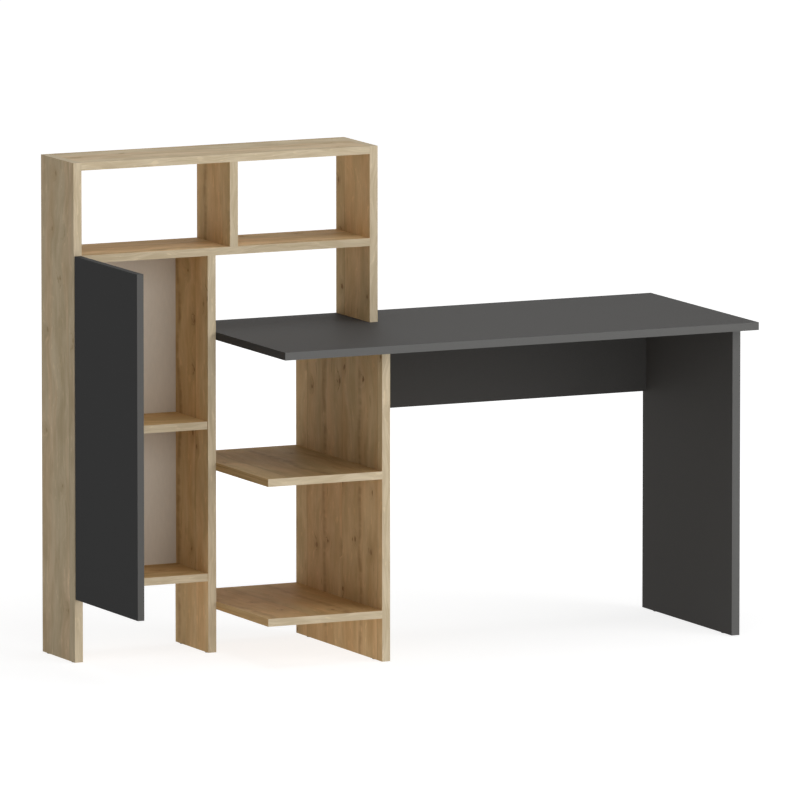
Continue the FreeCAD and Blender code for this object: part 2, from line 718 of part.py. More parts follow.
plate_blank = local_box(
    "plate_blank",
    (less(PLATE_TOP, dim("plate_thickness")), less(PLATE_D, half(dim("plate_width"))),
     f"-{half(PLATE_HEIGHT)}"),
    (dim("plate_thickness"), dim("plate_width"), PLATE_HEIGHT),
)
plate_screw_holes = [
    local_rod(f"plate_screw_hole_{number}", (1, 0, 0), SCREW_WALL, ("0", PLATE_D, high),
              total(PLATE_TOP, OVERRUN))
    for number, high in enumerate(PLATE_SCREW_HEIGHTS)
]
hinge_plate = cut("hinge_plate", plate_blank, arm_screw_hole, *plate_screw_holes)
hinge_pin = rod("hinge_pin", dim("pin_radius"), f"-{half(dim('pin_length'))}", dim("pin_length"))
hinge_screw = headed_pin(
    "hinge_screw", dim("hinge_screw_radius"),
    total(dim("hinge_screw_length"), dim("plate_thickness")),
    dim("hinge_screw_head_radius"), dim("hinge_screw_head_height"),
)
hinge_screw_bore = rod(
    "hinge_screw_bore", SCREW_WALL,
    f"-{total(dim('hinge_screw_length'), dim('plate_thickness'), CLEAR)}",
    total(dim("hinge_screw_length"), dim("plate_thickness"), CLEAR),
)
arm_screw = headed_pin(
    "arm_screw", dim("arm_screw_radius"),
    less(total(dim("arm_thickness"), dim("plate_thickness")), CLEAR),
    dim("hinge_screw_head_radius"), dim("hinge_screw_head_height"),
)
cup_bore = rod(
    "cup_bore", total(dim("cup_radius"), CLEAR), f"-{total(dim('cup_depth'), CLEAR)}",
    total(dim("cup_depth"), CLEAR, OVERRUN),
)

for pin_height in HINGE_HEIGHTS:
    pin_spot = (PIN_X, PIN_D, pin_height)
    for group, prototype in (
        ("hinge_cups", hinge_cup),
        ("hinge_arms", hinge_arm),
        ("hinge_plates", hinge_plate),
        ("hinge_pins", hinge_pin),
    ):
        add(group, prototype, pin_spot)
    drill("cabinet_door", cup_bore, (DOOR_IN, total(PIN_D, CUP_CENTRE), pin_height), RIGHT)
    plate_face = total(PIN_X, PLATE_TOP)
    plate_depth = less(HUTCH_DEPTH, dim("plate_setback"))
    add("hinge_arm_screws", arm_screw, (total(PIN_X, ARM_TOP), plate_depth, pin_height), RIGHT)
    for high in PLATE_SCREW_HEIGHTS:
        spot = (plate_face, plate_depth, f"({pin_height} + {high})")
        add("hinge_plate_screws", hinge_screw, spot, RIGHT)
        drill("left_side_panel", hinge_screw_bore, spot, RIGHT)
    for high in FLANGE_SCREW_HEIGHTS:
        deep = total(PIN_D, CUP_CENTRE, dim("flange_screw_offset"))
        spot = (total(PIN_X, FLANGE_TOP), deep, f"({pin_height} + {high})")
        add("hinge_cup_screws", hinge_screw, spot, RIGHT)
        drill("cabinet_door", hinge_screw_bore, spot, RIGHT)

# Soft bumpers on the door's free side, which meet the cabinet's front edges when it is shut.
bumper = rod("bumper", dim("bumper_radius"), "0", dim("bumper_height"))
BUMPER_D = less(total(DOOR_BACK, DOOR_WIDTH), dim("bumper_inset"))
for high in (total(DOOR_BOTTOM, dim("bumper_inset")), less(SHELF_TOP, dim("bumper_inset"))):
    add("door_bumpers", bumper, (DOOR_IN, BUMPER_D, high), RIGHT)


def rectangle(sketch, length, width):
    """Rectangle from the sketch's origin, bound to two sizes."""
    corners = [FreeCAD.Vector(*corner) for corner in ((0, 0), (1, 0), (1, 1), (0, 1))]
    for number, corner in enumerate(corners):
        sketch.addGeometry(Part.LineSegment(corner, corners[(number + 1) % len(corners)]))
    for number in range(len(corners)):
        following = (number + 1) % len(corners)
        sketch.addConstraint(Sketcher.Constraint("Coincident", number, 2, following, 1))
    for kind, line in (("Horizontal", 0), ("Vertical", 1), ("Horizontal", 2), ("Vertical", 3)):
        sketch.addConstraint(Sketcher.Constraint(kind, line))
    sketch.addConstraint(Sketcher.Constraint("Coincident", 0, 1, -1, 1))
    for kind, line, amount in (("DistanceX", 0, length), ("DistanceY", 1, width)):
        number = sketch.addConstraint(Sketcher.Constraint(kind, line, 1, line, 2, 1))
        sketch.setExpression(f"Constraints[{number}]", amount)


def door_blank():
    """Door slab standing open, with the edge that sweeps past the side panel rounded."""
    body = doc.addObject("PartDesign::Body", "door_slab")
    sketch = body.newObject("Sketcher::SketchObject", "door_outline")
    plane = [item for item in body.Origin.OriginFeatures if item.Role == "XY_Plane"][0]
    sketch.AttachmentSupport = (plane, "")
    sketch.MapMode = "FlatFace"
    rectangle(sketch, dim("door_thickness"), DOOR_WIDTH)
    pad = body.newObject("PartDesign::Pad", "door_pad")
    pad.Profile = sketch
    pad.setExpression("Length", less(SHELF_TOP, DOOR_BOTTOM))
    doc.recompute()
    box = pad.Shape.BoundBox
    swept = [
        f"Edge{number}"
        for number, edge in enumerate(pad.Shape.Edges, start=1)
        if edge.BoundBox.XMin == box.XMax and edge.BoundBox.YMin == box.YMax
    ]
    rounding = body.newObject("PartDesign::Fillet", "door_rounding")
    rounding.Base = (pad, swept)
    rounding.setExpression("Radius", dim("door_edge_radius"))
    body.Tip = rounding
    return place(body, (DOOR_OUT, total(DOOR_BACK, DOOR_WIDTH), DOOR_BOTTOM))


blanks = {name: block(name + "_blank", low, size) for name, (low, size) in BLANKS.items()}
blanks["cabinet_back"] = back_blank
blanks["cabinet_door"] = door_blank()
for name, blank in blanks.items():
    parts[name] = cut(name, blank, *bores[name]) if name in bores else blank
for name, links in groups.items():
    parts[name] = doc.addObject("Part::Compound", name)
    parts[name].Links = links
for name, item in parts.items():
    item.Label = name
doc.recompute()

# Nothing is written unless every feature worked and every solid is whole.
for item in doc.Objects:
    if "Invalid" in item.State or "Error" in item.State:
        raise RuntimeError(f"{item.Label} failed: {item.State}")
for name, item in parts.items():
    wanted = len(groups.get(name, (item,)))
    shape = item.Shape
    if shape.isNull() or not shape.isValid() or len(shape.Solids) != wanted:
        raise RuntimeError(f"{name} is not {wanted} whole solids")
    if name in bores and shape.Volume >= blanks[name].Shape.Volume:
        raise RuntimeError(f"the holes of {name} cut nothing")

os.makedirs("parts", exist_ok=True)
for name, item in parts.items():
    item.Shape.exportStep(f"parts/{name}.step")
print(len(parts), "sub-parts written")
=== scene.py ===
import math
from typing import NamedTuple

import bmesh
import bpy
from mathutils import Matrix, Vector

bl_info = {
    "name": "Student Desk with Hutch",
    "version": (1, 0, 0),
    "blender": (4, 5, 0),
    "location": "3D View > Sidebar > Desk",
    "description": "Finishes the boards and fittings of a student desk and sets a plain stage",
    "category": "Object",
}

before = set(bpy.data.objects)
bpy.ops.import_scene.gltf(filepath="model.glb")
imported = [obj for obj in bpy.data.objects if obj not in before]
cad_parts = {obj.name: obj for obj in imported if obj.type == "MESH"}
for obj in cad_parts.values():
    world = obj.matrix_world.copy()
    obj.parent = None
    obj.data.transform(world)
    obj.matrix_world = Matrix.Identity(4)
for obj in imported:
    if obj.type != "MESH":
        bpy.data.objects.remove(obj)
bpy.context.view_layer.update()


class Grain(NamedTuple):
    """Coordinates along, across and through the wood on a face and on an edge, and banded edges."""

    face: str
    edge: str
    bands: tuple


class Noise(NamedTuple):
    """A noise texture, with its scale in each direction per metre."""

    scale: tuple
    detail: float
    roughness: float
    distortion: float = 0.0


class Ramp(NamedTuple):
    """A smooth step: where it begins and ends, and the values that it goes between."""

    low: float
    high: float
    start: float = 0.0
    end: float = 1.0


class Look(NamedTuple):
    """A fine-grained finish, with the scale of its grain in each direction per metre."""

    scale: tuple
    spread: float
    roughness: tuple
    relief: float
    metallic: float
    specular: float


# Boards by their finish and by the direction that their grain runs in.
OUTER_UPRIGHT = ("left_side_panel",)
# Inner boards and the shelves get the oak with painted warm shade.
INNER_UPRIGHT = (
    "centre_panel",
    "hutch_right_panel",
    "hutch_divider",
    "pedestal_side_panel",
)
OUTER_LENGTHWISE = ("hutch_top_panel",)
INNER_LENGTHWISE = ("hutch_shelf",)
CABINET_SHELVES = ("cabinet_shelf", "cabinet_bottom")
OPEN_SHELVES = ("upper_open_shelf", "lower_open_shelf")
DARK_DESK = ("desktop", "right_leg_panel")

# Fittings by their metal.
STEEL_FITTINGS = (
    "hinge_cups",
    "hinge_arms",
    "hinge_plates",
    "hinge_pins",
    "hinge_cup_screws",
    "hinge_plate_screws",
    "hinge_arm_screws",
    "back_nails",
    "upright_screws",
)
ZINC_FITTINGS = ("cam_housings", "cam_bolts", "shelf_pins")

# Edges that carry a band: front and back, and on an upright also its two ends.
FLAT_BANDS = (0.0, 1.0, 0.0)
UPRIGHT_BANDS = (0.0, 1.0, 1.0)
BAND_LIMIT = 0.7

# Grain of the uprights, of the long boards and of the open shelves.
UPRIGHT_GRAIN = Grain("ZYX", "ZXY", UPRIGHT_BANDS)
LENGTHWISE_GRAIN = Grain("XYZ", "XZY", FLAT_BANDS)
CROSS_GRAIN = Grain("YXZ", "XZY", FLAT_BANDS)

# Shades of one wood colour between the grain lines and on them, and tints along the board.
EARLY_WOOD = (1.15, 1.16, 1.19)
LATE_WOOD = (0.83, 0.79, 0.72)
EVEN_WOOD = (1.0, 0.99, 0.97)
RED_WOOD = (1.03, 0.995, 0.97)
YELLOW_WOOD = (0.98, 1.01, 1.02)

# Planks of the oak decor in metres, shifted across by the depth in the wood and along by chance.
PLANK_WIDTH = 0.19
PLANK_STEP = 7.3
PLANK_RUN = 5.0
PLANK_DRIFT = 0.012
PLANK_CENTRE = 0.5
PLANK_LEVEL = Ramp(0.0, 1.0, 1.03, 0.95)
DRIFT = Noise((4.0, 5.0, 5.0), 2.0, 0.5)
JOINT_LINE = Ramp(0.48, 0.497)
JOINT_STRENGTH = Ramp(0.42, 0.6, 0.05, 0.3)

# Heart streak of some planks, as shares of the plank's width.
HEART_CHANCE = 0.35
HEART_FADE = Ramp(0.0, 0.08, 1.0, 0.0)
HEART_STRENGTH = Ramp(0.35, 0.6, 0.15, 0.5)
SLOW_SWAY = 0.35
QUICK_SWAY = 0.1
SLOW = Noise((5.0, 1.0, 1.0), 1.0, 0.5)
QUICK = Noise((28.0, 1.0, 1.0), 2.0, 0.6)

# Knots: cells per metre, the draw that gives a cell one, sizes in cells, and the bend in metres.
KNOT_CELLS = (8.0, 11.0, 1.0)
KNOT_DRAW = Ramp(0.6, 0.62)
KNOT_HALO = Ramp(0.0, 0.3, 1.0, 0.0)
KNOT_EYE = Ramp(0.02, 0.06, 1.0, 0.0)
KNOT_RAGGED = 0.16
KNOT_BEND = 0.02
KNOT_CRACKS = 0.12
HALO_STRENGTH = 0.25
EYE_STRENGTH = 0.8
RAGGED = Noise((55.0, 110.0, 110.0), 3.0, 0.6)
NOISE_MIDDLE = 0.5

# Layers of the oak's grain, with the share of some in its tone.
GRAIN_DRIFT = 0.07
BROAD = Noise((1.6, 16.0, 16.0), 3.0, 0.55)
BROAD_STEP = Ramp(0.34, 0.66)
BROAD_SHARE = 0.36
LINES = Noise((5.0, 70.0, 70.0), 4.0, 0.6, 0.3)
LINES_STEP = Ramp(0.36, 0.64)
LINES_SHARE = 0.18
CLOUDS = Noise((9.0, 22.0, 22.0), 3.0, 0.55)
CLOUDS_STEP = Ramp(0.34, 0.66)
CLOUDS_SHARE = 0.46
TINTS = Noise((1.6, 13.0, 13.0), 2.0, 0.5)
TINTS_STEP = Ramp(0.38, 0.62)
FIBRES = Noise((14.0, 420.0, 420.0), 3.0, 0.6)
FIBRES_LEVEL = Ramp(0.3, 0.7, 0.95, 1.04)
FLECKS = Noise((35.0, 90.0, 90.0), 2.0, 0.5)
FLECKS_LEVEL = Ramp(0.6, 0.7, 1.0, 1.12)
CRACKS = Noise((14.0, 190.0, 190.0), 2.0, 0.5)
CRACKS_STEP = Ramp(0.69, 0.75)
CRACK_STRENGTH = 0.5
BAND_STRIPES = Ramp(0.36, 0.64, -0.4, 0.4)
BAND_EVENNESS = 0.5

# Surface of the oak, with the depth of its relief in metres.
OAK_ROUGHNESS = Ramp(0.2, 0.8, 0.68, 0.54)
OAK_RELIEF = 0.12
OAK_DEPTH = 0.0004
OAK_SPECULAR = 0.05

# Fine-grained finishes: scale, spread of tone, roughness, relief, metallic and specular.
LOOKS = {
    "anthracite": Look((900.0, 900.0, 900.0), 0.08, (0.6, 0.7), 0.1, 0.0, 0.06),
    "back_board": Look((160.0, 160.0, 45.0), 0.02, (0.55, 0.66), 0.06, 0.0, 0.15),
    "nickel_steel": Look((1500.0, 120.0, 1500.0), 0.07, (0.24, 0.42), 0.06, 1.0, 0.5),
    "zinc_casting": Look((700.0, 700.0, 700.0), 0.14, (0.38, 0.58), 0.25, 1.0, 0.5),
    "beech": Look((350.0, 900.0, 900.0), 0.12, (0.6, 0.75), 0.2, 0.0, 0.2),
    "oak_plastic": Look((600.0, 600.0, 120.0), 0.06, (0.5, 0.6), 0.12, 0.0, 0.15),
    "dark_plastic": Look((900.0, 900.0, 900.0), 0.08, (0.55, 0.68), 0.15, 0.0, 0.08),
    "soft_bumper": Look((500.0, 500.0, 500.0), 0.03, (0.3, 0.42), 0.05, 0.0, 0.4),
}
FINE_DETAIL = 3.0
FINE_ROUGHNESS = 0.6
FINE_LOW = 0.3
FINE_HIGH = 0.7
FINE_DEPTH = 0.0002

# Lamps: name, place in metres, power in watts.
LAMPS = (
    ("front", (0.0, -6.0, 2.0), 105.0),
    ("front_right", (4.0, -5.0, 2.5), 138.0),
    ("front_left", (-4.0, -5.0, 2.0), 32.0),
    ("overhead", (0.0, -0.5, 5.0), 90.0),
    ("behind", (1.0, 6.0, 2.5), 13.0),
)
LAMP_AIM = (0.0, 0.0, 0.6)
LAMP_SIZE = 4.0

# White surroundings: what they give as light, and the floor's glow by metres from its middle.
WHITE = (1.0, 1.0, 1.0, 1.0)
WORLD_FILL = 0.08
FLOOR_BOUNCE = 0.55
FLOOR_COLOUR = (0.4, 0.4, 0.4, 1.0)
FLOOR_ROUGHNESS = 0.9
FLOOR_GLOW = Ramp(0.8, 2.6, 0.82, 1.0)

# Film width in millimetres, and the far clip in camera distances.
SENSOR_WIDTH = 36.0
CLIP_SHARE = 4

# Kinds of socket that a node group has.
VALUE = "NodeSocketFloat"
VECTOR = "NodeSocketVector"
COLOUR = "NodeSocketColor"

# Sockets of the Mix node, which have the same names for each kind of value.
MIX_FACTOR = 0
MIX_FIRST_VECTOR = 4
MIX_SECOND_VECTOR = 5
MIX_VECTOR_RESULT = 1
MIX_FIRST_COLOUR = 6
MIX_SECOND_COLOUR = 7
MIX_COLOUR_RESULT = 2


def colour(label, words, default):
    """A colour that a user may change, as linear red, green and blue."""
    return bpy.props.FloatVectorProperty(
        name=label, description=words, subtype="COLOR", size=3, min=0.0, max=1.0, default=default
    )


class DeskFinish(bpy.types.PropertyGroup):
    """Colours of the boards and fittings, with painted shade in the inner oak, the shelf oak and the door.
    """

    oak_edge: colour("Oak edge", "Bands on the edges of the oak boards", (0.575, 0.48, 0.335))
    oak_outer: colour("Outer oak", "Faces of the left panel and the top", (0.6, 0.475, 0.31))
    # Inner and shelf oak are the outer oak's decor painted warmer and deeper: painted shade from warm light
    # bounced inside the desk.
    oak_inner: colour("Inner oak", "Faces of the oak uprights and the hutch shelf", (0.73, 0.52, 0.28))
    oak_shelf: colour("Shelf oak", "Faces of the shelves below the hutch", (0.585, 0.39, 0.185))
    oak_knot: colour("Knot", "Knots and cracks of the inner oak", (0.28, 0.14, 0.055))
    pale_knot: colour("Pale knot", "Knots and cracks of the outer oak", (0.4, 0.28, 0.15))
    dark_edge: colour("Dark edge", "Edge bands of the desktop and the leg", (0.128, 0.127, 0.123))
    dark_face: colour("Dark face", "Faces of the dark boards", (0.067, 0.065, 0.0625))
    # The door's colours are the desk's anthracite painted darker, as painted shade.
    door_edge: colour("Door edge", "Edge bands of the door", (0.104, 0.102, 0.098))
    door_face: colour("Door face", "Faces of the door", (0.034, 0.034, 0.034))
    back_board: colour("Back board", "Thin back of the cabinet", (0.655, 0.585, 0.495))
    steel: colour("Steel", "Hinges, nails and screws", (0.56, 0.56, 0.57))
    zinc: colour("Zinc", "Cam fittings and shelf pins", (0.48, 0.48, 0.5))
    beech: colour("Beech", "Dowels", (0.62, 0.43, 0.25))
    oak_plastic: colour("Oak plastic", "Caps in the oak uprights", (0.58, 0.46, 0.29))
    dark_plastic: colour("Dark plastic", "Caps in the dark leg, and floor glides", (0.062, 0.061, 0.059))
    bumper: colour("Bumper", "Soft stops on the door", (0.7, 0.7, 0.68))


class DeskStage(bpy.types.PropertyGroup):
    """Camera and floor."""

    aim: bpy.props.FloatVectorProperty(
        name="Aim",
        description="Point that the camera looks at",
        subtype="XYZ",
        unit="LENGTH",
        default=(0.0051, 0.0166, 0.5686),
    )
    azimuth: bpy.props.FloatProperty(
        name="Azimuth",
        description="Turn of the camera round the desk",
        subtype="ANGLE",
        default=math.radians(-25.213),
    )
    elevation: bpy.props.FloatProperty(
        name="Elevation",
        description="Height of the camera above the horizon",
        subtype="ANGLE",
        default=math.radians(8.103),
    )
    distance: bpy.props.FloatProperty(
        name="Distance", description="From the camera to its aim", unit="LENGTH", default=32.2
    )
    lens: bpy.props.FloatProperty(
        name="Lens", description="Focal length in millimetres", default=634.07
    )
    floor_size: bpy.props.FloatProperty(
        name="Floor", description="Side of the square floor", unit="LENGTH", default=60.0
    )


def material(name):
    """Fresh material, its node tree and its Principled shader."""
    made = bpy.data.materials.new(name)
    made.use_nodes = True
    tree = made.node_tree
    return made, tree, tree.nodes["Principled BSDF"]


def node(tree, kind, inputs=None, **settings):
    """New node with its settings and with values or links for its inputs."""
    made = tree.nodes.new(kind)
    for key, value in settings.items():
        setattr(made, key, value)
    for key, value in (inputs or {}).items():
        if isinstance(value, bpy.types.NodeSocket):
            tree.links.new(value, made.inputs[key])
        else:
            made.inputs[key].default_value = value
    return made


def math_node(tree, operation, *values):
    """Result of one operation on values or sockets."""
    return node(tree, "ShaderNodeMath", dict(enumerate(values)), operation=operation).outputs[0]


def times(tree, first, second):
    """Product of two values."""
    return math_node(tree, "MULTIPLY", first, second)


def plus(tree, first, second):
    """Sum of two values."""
    return math_node(tree, "ADD", first, second)


def minus(tree, first, second):
    """Difference of two values."""
    return math_node(tree, "SUBTRACT", first, second)


def joined(tree, along, across, through):
    """Vector from three values."""
    return node(tree, "ShaderNodeCombineXYZ", {"X": along, "Y": across, "Z": through}).outputs[0]


def picked(tree, parts, order):
    """Vector with the coordinates in another order."""
    return joined(tree, *(parts[axis] for axis in order))


def scaled(tree, vector, scale):
    """Vector times a scale in each direction."""
    made = node(tree, "ShaderNodeVectorMath", {0: vector, 1: scale}, operation="MULTIPLY")
    return made.outputs["Vector"]


def length(tree, vector):
    """Length of a vector."""
    return node(tree, "ShaderNodeVectorMath", {0: vector}, operation="LENGTH").outputs["Value"]


def noise(tree, vector, texture):
    """Value of a noise texture over a vector in metres."""
    inputs = {
        "Vector": scaled(tree, vector, texture.scale),
        "Scale": 1.0,
        "Detail": texture.detail,
        "Roughness": texture.roughness,
        "Distortion": texture.distortion,
    }
    return node(tree, "ShaderNodeTexNoise", inputs).outputs["Fac"]


def steps(tree, value, ramp):
    """Value taken through a smooth step."""
    inputs = {
        "Value": value,
        "From Min": ramp.low,
        "From Max": ramp.high,
        "To Min": ramp.start,
        "To Max": ramp.end,
    }
    return node(tree, "ShaderNodeMapRange", inputs, interpolation_type="SMOOTHSTEP").outputs["Result"]


def mix_vector(tree, factor, first, second):
    """Vector between two others."""
    inputs = {MIX_FACTOR: factor, MIX_FIRST_VECTOR: first, MIX_SECOND_VECTOR: second}
    return node(tree, "ShaderNodeMix", inputs, data_type="VECTOR").outputs[MIX_VECTOR_RESULT]


def mix_colour(tree, factor, first, second, blend_type="MIX"):
    """Colour mixed from two others."""
    inputs = {MIX_FACTOR: factor, MIX_FIRST_COLOUR: first, MIX_SECOND_COLOUR: second}
    made = node(tree, "ShaderNodeMix", inputs, data_type="RGBA", blend_type=blend_type)
    return made.outputs[MIX_COLOUR_RESULT]


def tinted(tree, base, shade, share=1.0):
    """Colour times another, by a share."""
    return mix_colour(tree, share, base, shade, "MULTIPLY")


def rgba(value):
    """Colour with full alpha."""
    return (*value, 1.0)


def grey(tree, value):
    """Value as a grey colour."""
    return node(tree, "ShaderNodeCombineColor", {"Red": value, "Green": value, "Blue": value}).outputs[0]


def shader_group(name, inputs, outputs):
    """New node group with named sockets, and the sockets as its own nodes see them."""
    group = bpy.data.node_groups.new(name, "ShaderNodeTree")
    for key, kind in inputs.items():
        group.interface.new_socket(key, in_out="INPUT", socket_type=kind)
    for key, kind in outputs.items():
        group.interface.new_socket(key, in_out="OUTPUT", socket_type=kind)
    return group, group.nodes.new("NodeGroupInput").outputs, group.nodes.new("NodeGroupOutput").inputs


def placed(tree, make, inputs):
    """Outputs of a node group in a material. The group is made when it is first asked for."""
    group = bpy.data.node_groups.get(make.__name__) or make()
    return node(tree, "ShaderNodeGroup", inputs, node_tree=group).outputs


def edge_band():
    """Group whose mask is one on the edges that look one of the given ways."""
    group, source, result = shader_group("edge_band", {"Normal": VECTOR, "Ways": VECTOR}, {"Band": VALUE})
    reach = length(group, scaled(group, source["Normal"], source["Ways"]))
    group.links.new(math_node(group, "GREATER_THAN", reach, BAND_LIMIT), result["Band"])
    return group


def fine_grain():
    """Group for a fine grain in the tone, roughness and height of a surface."""
    inputs = {
        "Vector": VECTOR,
        "Scale": VECTOR,
        "Color": COLOUR,
        "Darkest": VALUE,
        "Palest": VALUE,
        "Smoothest": VALUE,
        "Roughest": VALUE,
    }
    outputs = {"Color": COLOUR, "Roughness": VALUE, "Height": VALUE}
    group, source, result = shader_group("fine_grain", inputs, outputs)
    grain = noise(group, source["Vector"], Noise(source["Scale"], FINE_DETAIL, FINE_ROUGHNESS))
    level = steps(group, grain, Ramp(FINE_LOW, FINE_HIGH, source["Darkest"], source["Palest"]))
    rough = steps(group, grain, Ramp(FINE_LOW, FINE_HIGH, source["Smoothest"], source["Roughest"]))
    group.links.new(tinted(group, source["Color"], grey(group, level)), result["Color"])
    group.links.new(rough, result["Roughness"])
    group.links.new(grain, result["Height"])
    return group


def heart_streak(group, along, off_centre, chance):
    """Mask of a dark streak that wanders along the middle of some planks."""
    line = joined(group, along, 0.0, 0.0)
    slow = noise(group, line, SLOW)
    quick = noise(group, line, QUICK)
    sway = plus(group, times(group, slow, SLOW_SWAY), times(group, quick, QUICK_SWAY))
    from_heart = minus(group, plus(group, off_centre, sway), (SLOW_SWAY + QUICK_SWAY) / 2)
    streak = steps(group, math_node(group, "ABSOLUTE", from_heart), HEART_FADE)
    streak = times(group, streak, steps(group, quick, HEART_STRENGTH))
    return times(group, streak, math_node(group, "GREATER_THAN", chance, HEART_CHANCE))


def knots(group, along, place, through, face):
    """Masks of the halo and the eye of ragged knots, each in a cell of its own."""
    cells = scaled(group, joined(group, along, place, 0.0), KNOT_CELLS)
    cell = node(
        group, "ShaderNodeTexVoronoi", {"Vector": cells, "Scale": 1.0}, voronoi_dimensions="2D"
    ).outputs
    draw = node(group, "ShaderNodeSeparateColor", {"Color": cell["Color"]}).outputs["Red"]
    has_knot = times(group, steps(group, draw, KNOT_DRAW), face)
    ragged = minus(group, noise(group, joined(group, along, place, through), RAGGED), NOISE_MIDDLE)
    reach = plus(group, cell["Distance"], times(group, ragged, KNOT_RAGGED))
    halo = times(group, steps(group, reach, KNOT_HALO), has_knot)
    eye = times(group, steps(group, reach, KNOT_EYE), has_knot)
    return halo, eye


def oak_figure():
    """Group for the oak decor. Band is one on an edge band, which has no knots or planks."""
    inputs = {"Vector": VECTOR, "Wood": COLOUR, "Knot": COLOUR, "Band": VALUE}
    outputs = {"Color": COLOUR, "Roughness": VALUE, "Height": VALUE}
    group, source, result = shader_group("oak_figure", inputs, outputs)
    axes = node(group, "ShaderNodeSeparateXYZ", {"Vector": source["Vector"]}).outputs
    band = source["Band"]
    face = minus(group, 1.0, band)

    # Planks printed side by side, each with its own tone and stretch of wood.
    drift = noise(group, source["Vector"], DRIFT)
    place = plus(group, axes["Y"], times(group, axes["Z"], PLANK_STEP))
    place = plus(group, place, times(group, drift, PLANK_DRIFT))
    count = math_node(group, "DIVIDE", place, PLANK_WIDTH)
    plank = math_node(group, "FLOOR", count)
    chance = node(group, "ShaderNodeTexWhiteNoise", {"W": plank}, noise_dimensions="1D").outputs["Value"]
    off_centre = minus(group, math_node(group, "FRACT", count), PLANK_CENTRE)
    to_side = math_node(group, "ABSOLUTE", off_centre)
    along = plus(group, axes["X"], times(group, chance, PLANK_RUN))

    # Grain that wanders and bends round the knots.
    heart = heart_streak(group, along, off_centre, chance)
    halo, eye = knots(group, along, place, axes["Z"], face)
    bent = plus(group, place, times(group, halo, KNOT_BEND))
    wood = joined(group, along, plus(group, bent, times(group, drift, GRAIN_DRIFT)), axes["Z"])
    broad = noise(group, wood, BROAD)
    lines = noise(group, wood, LINES)
    clouds = noise(group, wood, CLOUDS)
    fibres = noise(group, wood, FIBRES)
    flecks = noise(group, wood, FLECKS)
    cracks = noise(group, wood, CRACKS)

    # Tone from pale to dark wood, with finer stripes and less contrast on the edge bands.
    tone = times(group, steps(group, broad, BROAD_STEP), BROAD_SHARE)
    tone = plus(group, tone, times(group, steps(group, lines, LINES_STEP), LINES_SHARE))
    tone = plus(group, tone, times(group, steps(group, clouds, CLOUDS_STEP), CLOUDS_SHARE))
    tone = plus(group, tone, times(group, steps(group, cracks, BAND_STRIPES), band))
    shade = mix_colour(group, tone, rgba(EARLY_WOOD), rgba(LATE_WOOD))
    shade = mix_colour(group, times(group, band, BAND_EVENNESS), shade, rgba(EVEN_WOOD))
    base = tinted(group, source["Wood"], shade)

    # Red and yellow stretches, fibres, pale flecks and the tone of each plank.
    hue = steps(group, noise(group, wood, TINTS), TINTS_STEP)
    base = tinted(group, base, mix_colour(group, hue, rgba(RED_WOOD), rgba(YELLOW_WOOD)), face)
    level = times(group, steps(group, fibres, FIBRES_LEVEL), steps(group, flecks, FLECKS_LEVEL))
    level = times(group, level, steps(group, times(group, chance, face), PLANK_LEVEL))
    base = tinted(group, base, grey(group, level))

    # Dark marks: joints of the planks, hearts, cracks and knots.
    joint = times(group, steps(group, to_side, JOINT_LINE), steps(group, broad, JOINT_STRENGTH))
    near_knot = plus(group, cracks, times(group, halo, KNOT_CRACKS))
    crack = times(group, steps(group, near_knot, CRACKS_STEP), CRACK_STRENGTH)
    marks = (
        times(group, joint, face),
        times(group, heart, face),
        times(group, crack, face),
        times(group, halo, HALO_STRENGTH),
        times(group, eye, EYE_STRENGTH),
    )
    for mask in marks:
        base = mix_colour(group, mask, base, source["Knot"])

    height = minus(group, fibres, crack)
    group.links.new(base, result["Color"])
    group.links.new(steps(group, height, OAK_ROUGHNESS), result["Roughness"])
    group.links.new(height, result["Height"])
    return group


def band_mask(tree, bands):
    """Mask of a board's banded edges."""
    normal = node(tree, "ShaderNodeTexCoord").outputs["Normal"]
    return placed(tree, edge_band, {"Normal": normal, "Ways": bands})["Band"]


def surface(tree, shader, figure, relief, depth):
    """Give a shader the colour, roughness and relief that a group puts out."""
    bump = node(tree, "ShaderNodeBump", {"Height": figure["Height"], "Strength": relief, "Distance": depth})
    tree.links.new(figure["Color"], shader.inputs["Base Color"])
    tree.links.new(figure["Roughness"], shader.inputs["Roughness"])
    tree.links.new(bump.outputs["Normal"], shader.inputs["Normal"])


def oak(name, grain, face, knot, edge):
    """Matt oak decor on the faces of a board, with the edge colour on its bands."""
    made, tree, shader = material(name)
    place = node(tree, "ShaderNodeTexCoord").outputs["Object"]
    parts = node(tree, "ShaderNodeSeparateXYZ", {"Vector": place}).outputs
    band = band_mask(tree, grain.bands)
    on_face = picked(tree, parts, grain.face)
    on_edge = picked(tree, parts, grain.edge)
    inputs = {
        "Vector": mix_vector(tree, band, on_face, on_edge),
        "Wood": mix_colour(tree, band, rgba(face), rgba(edge)),
        "Knot": rgba(knot),
        "Band": band,
    }
    surface(tree, shader, placed(tree, oak_figure, inputs), OAK_RELIEF, OAK_DEPTH)
    shader.inputs["Specular IOR Level"].default_value = OAK_SPECULAR
    return made


def grained(tree, shader, base, look):
    """Give a shader a colour with the fine grain and the shine of a look."""
    smoothest, roughest = look.roughness
    inputs = {
        "Vector": node(tree, "ShaderNodeTexCoord").outputs["Object"],
        "Scale": look.scale,
        "Color": base,
        "Darkest": 1.0 - look.spread,
        "Palest": 1.0 + look.spread,
        "Smoothest": smoothest,
        "Roughest": roughest,
    }
    surface(tree, shader, placed(tree, fine_grain, inputs), look.relief, FINE_DEPTH)
    shader.inputs["Metallic"].default_value = look.metallic
    shader.inputs["Specular IOR Level"].default_value = look.specular


